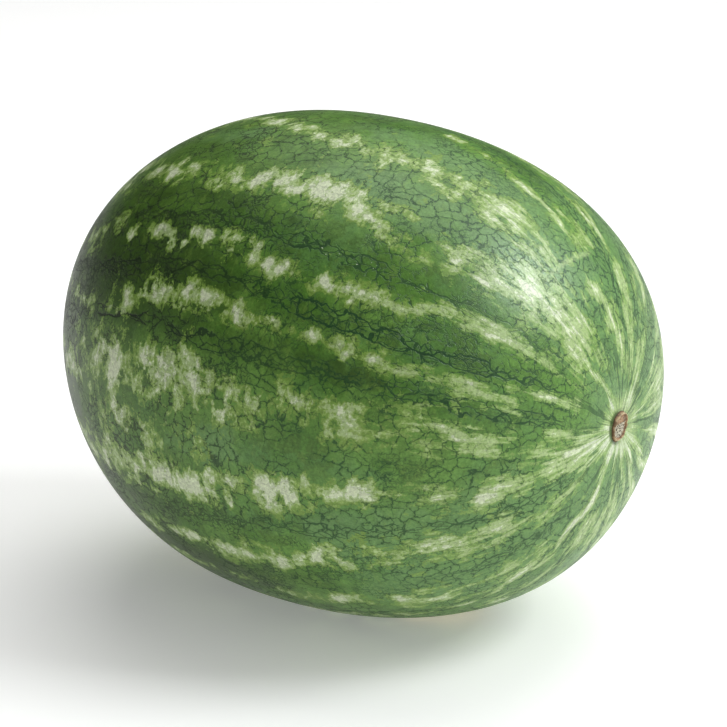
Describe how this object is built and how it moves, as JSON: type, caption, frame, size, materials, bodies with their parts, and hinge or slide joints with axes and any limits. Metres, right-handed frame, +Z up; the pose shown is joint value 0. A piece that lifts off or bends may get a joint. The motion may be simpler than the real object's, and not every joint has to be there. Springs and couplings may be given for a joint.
{
  "type": "whole watermelon",
  "caption": "Whole oblong watermelon lying on its side, with a veined green rind, broken pale stripes and a corky stem scar.",
  "frame": {"origin": "under the middle of the fruit's bounding box, on the plane of the small flat spot it rests on", "axes": "+X along the fruit's long axis towards its stem end, +Z up, +Y completes the right-handed frame"},
  "size_m": [0.2922, 0.233, 0.2281],
  "materials": {
    "rind": "waxy satin melon rind, green with pale broken stripes; stands in for living rind"
  },
  "bodies": {
    "root": {"watermelon": "rind"}
  },
  "joints": []
}
